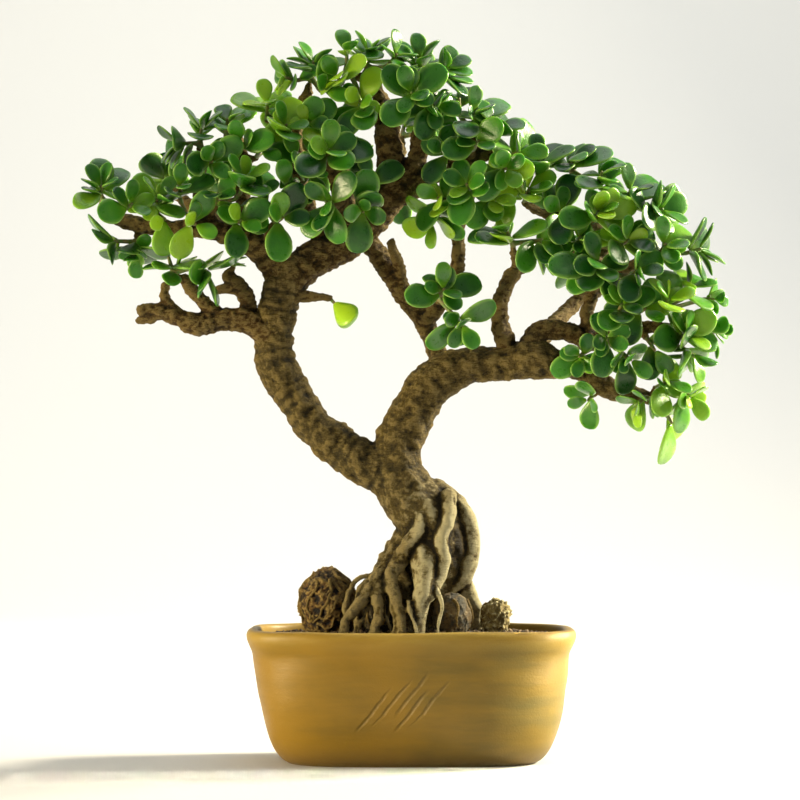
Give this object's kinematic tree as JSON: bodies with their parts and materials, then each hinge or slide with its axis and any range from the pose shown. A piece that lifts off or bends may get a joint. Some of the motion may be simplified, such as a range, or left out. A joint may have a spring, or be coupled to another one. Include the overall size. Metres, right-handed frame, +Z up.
{
  "type": "bonsai tree",
  "caption": "Jade bonsai with a forked trunk, bare roots over stones and fleshy round leaves, in a low rounded oblong pot.",
  "frame": {"origin": "middle of the pot's flat foot, on the surface that it stands on", "axes": "+Z up, +X along the pot's long side to the viewer's right, +Y to the back"},
  "size_m": [0.3619, 0.1564, 0.4023],
  "materials": {
    "glaze": "satin",
    "soil": "matte",
    "stone": "matte",
    "bark": "matte",
    "leaf": "satin"
  },
  "bodies": {
    "root": {"pot": "glaze", "soil": "soil", "stone_left": "stone", "stone_middle": "stone", "stone_right": "stone", "stone_small": "stone", "tree": "bark", "spray_left_tip": "leaf", "spray_left_under": "leaf", "spray_left_second": "leaf", "spray_left_third": "leaf", "spray_left_shoulder": "leaf", "spray_left_peak": "leaf", "spray_left_face": "leaf", "spray_left_round": "leaf", "spray_fork_face": "leaf", "spray_centre_left": "leaf", "spray_mid_low": "leaf", "spray_mid_high": "leaf", "spray_mid_top": "leaf", "spray_centre_wide": "leaf", "spray_centre_low": "leaf", "spray_centre_dark": "leaf", "spray_apex_left": "leaf", "spray_apex": "leaf", "spray_apex_right": "leaf", "spray_apex_face": "leaf", "spray_right_peak": "leaf", "spray_right_inner": "leaf", "spray_right_shoulder": "leaf", "spray_heart_face": "leaf", "spray_olive": "leaf", "spray_elbow": "leaf", "spray_right_gap": "leaf", "spray_crown_step": "leaf", "spray_crown_far": "leaf", "spray_crown_face": "leaf", "spray_far_top": "leaf", "spray_inner_dark": "leaf", "spray_big_dark": "leaf", "spray_far_face": "leaf", "spray_mid_right": "leaf", "spray_white_face": "leaf", "spray_far_right": "leaf", "spray_hang_left": "leaf", "spray_hang_mid": "leaf", "spray_low_right": "leaf", "spray_tail": "leaf", "spray_under": "leaf", "spray_low_left": "leaf", "spray_low_mid": "leaf", "spray_inner_drop": "leaf", "spray_back_crown": "leaf", "spray_back_mid": "leaf", "spray_back_left": "leaf", "spray_back_right": "leaf", "spray_back_shoulder": "leaf", "spray_back_fork": "leaf"}
  },
  "joints": []
}
